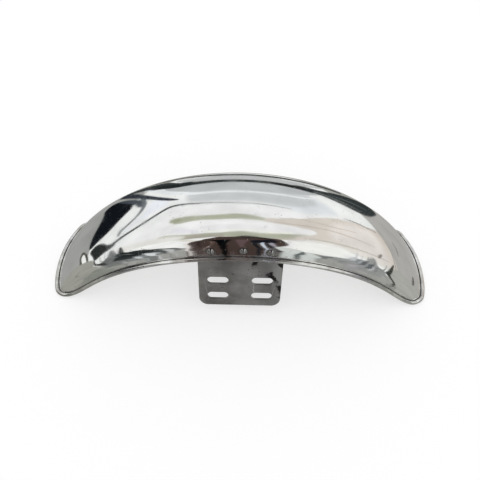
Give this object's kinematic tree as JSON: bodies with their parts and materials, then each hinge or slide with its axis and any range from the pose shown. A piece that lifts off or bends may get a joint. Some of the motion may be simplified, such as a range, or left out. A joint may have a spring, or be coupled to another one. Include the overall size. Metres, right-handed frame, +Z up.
{
  "type": "motorcycle front mudguard",
  "caption": "Chromed steel front mudguard for a motorcycle, with a rolled edge and a riveted strap whose slotted legs bolt inside the fork.",
  "frame": {"origin": "middle of the length and the width, on the plane that the two ends stand on", "axes": "+X along the mudguard, +Y across it away from the side that the picture shows, +Z up"},
  "size_m": [0.5468, 0.1746, 0.1332],
  "materials": {
    "chrome_shell": "bright chrome plate on pressed steel",
    "bracket_steel": "thin dark chrome plate on steel strip",
    "rivet_steel": "bright plated domed rivets"
  },
  "bodies": {
    "root": {"shell": "chrome_shell", "fork_bracket": "bracket_steel", "rivets": "rivet_steel"}
  },
  "joints": []
}
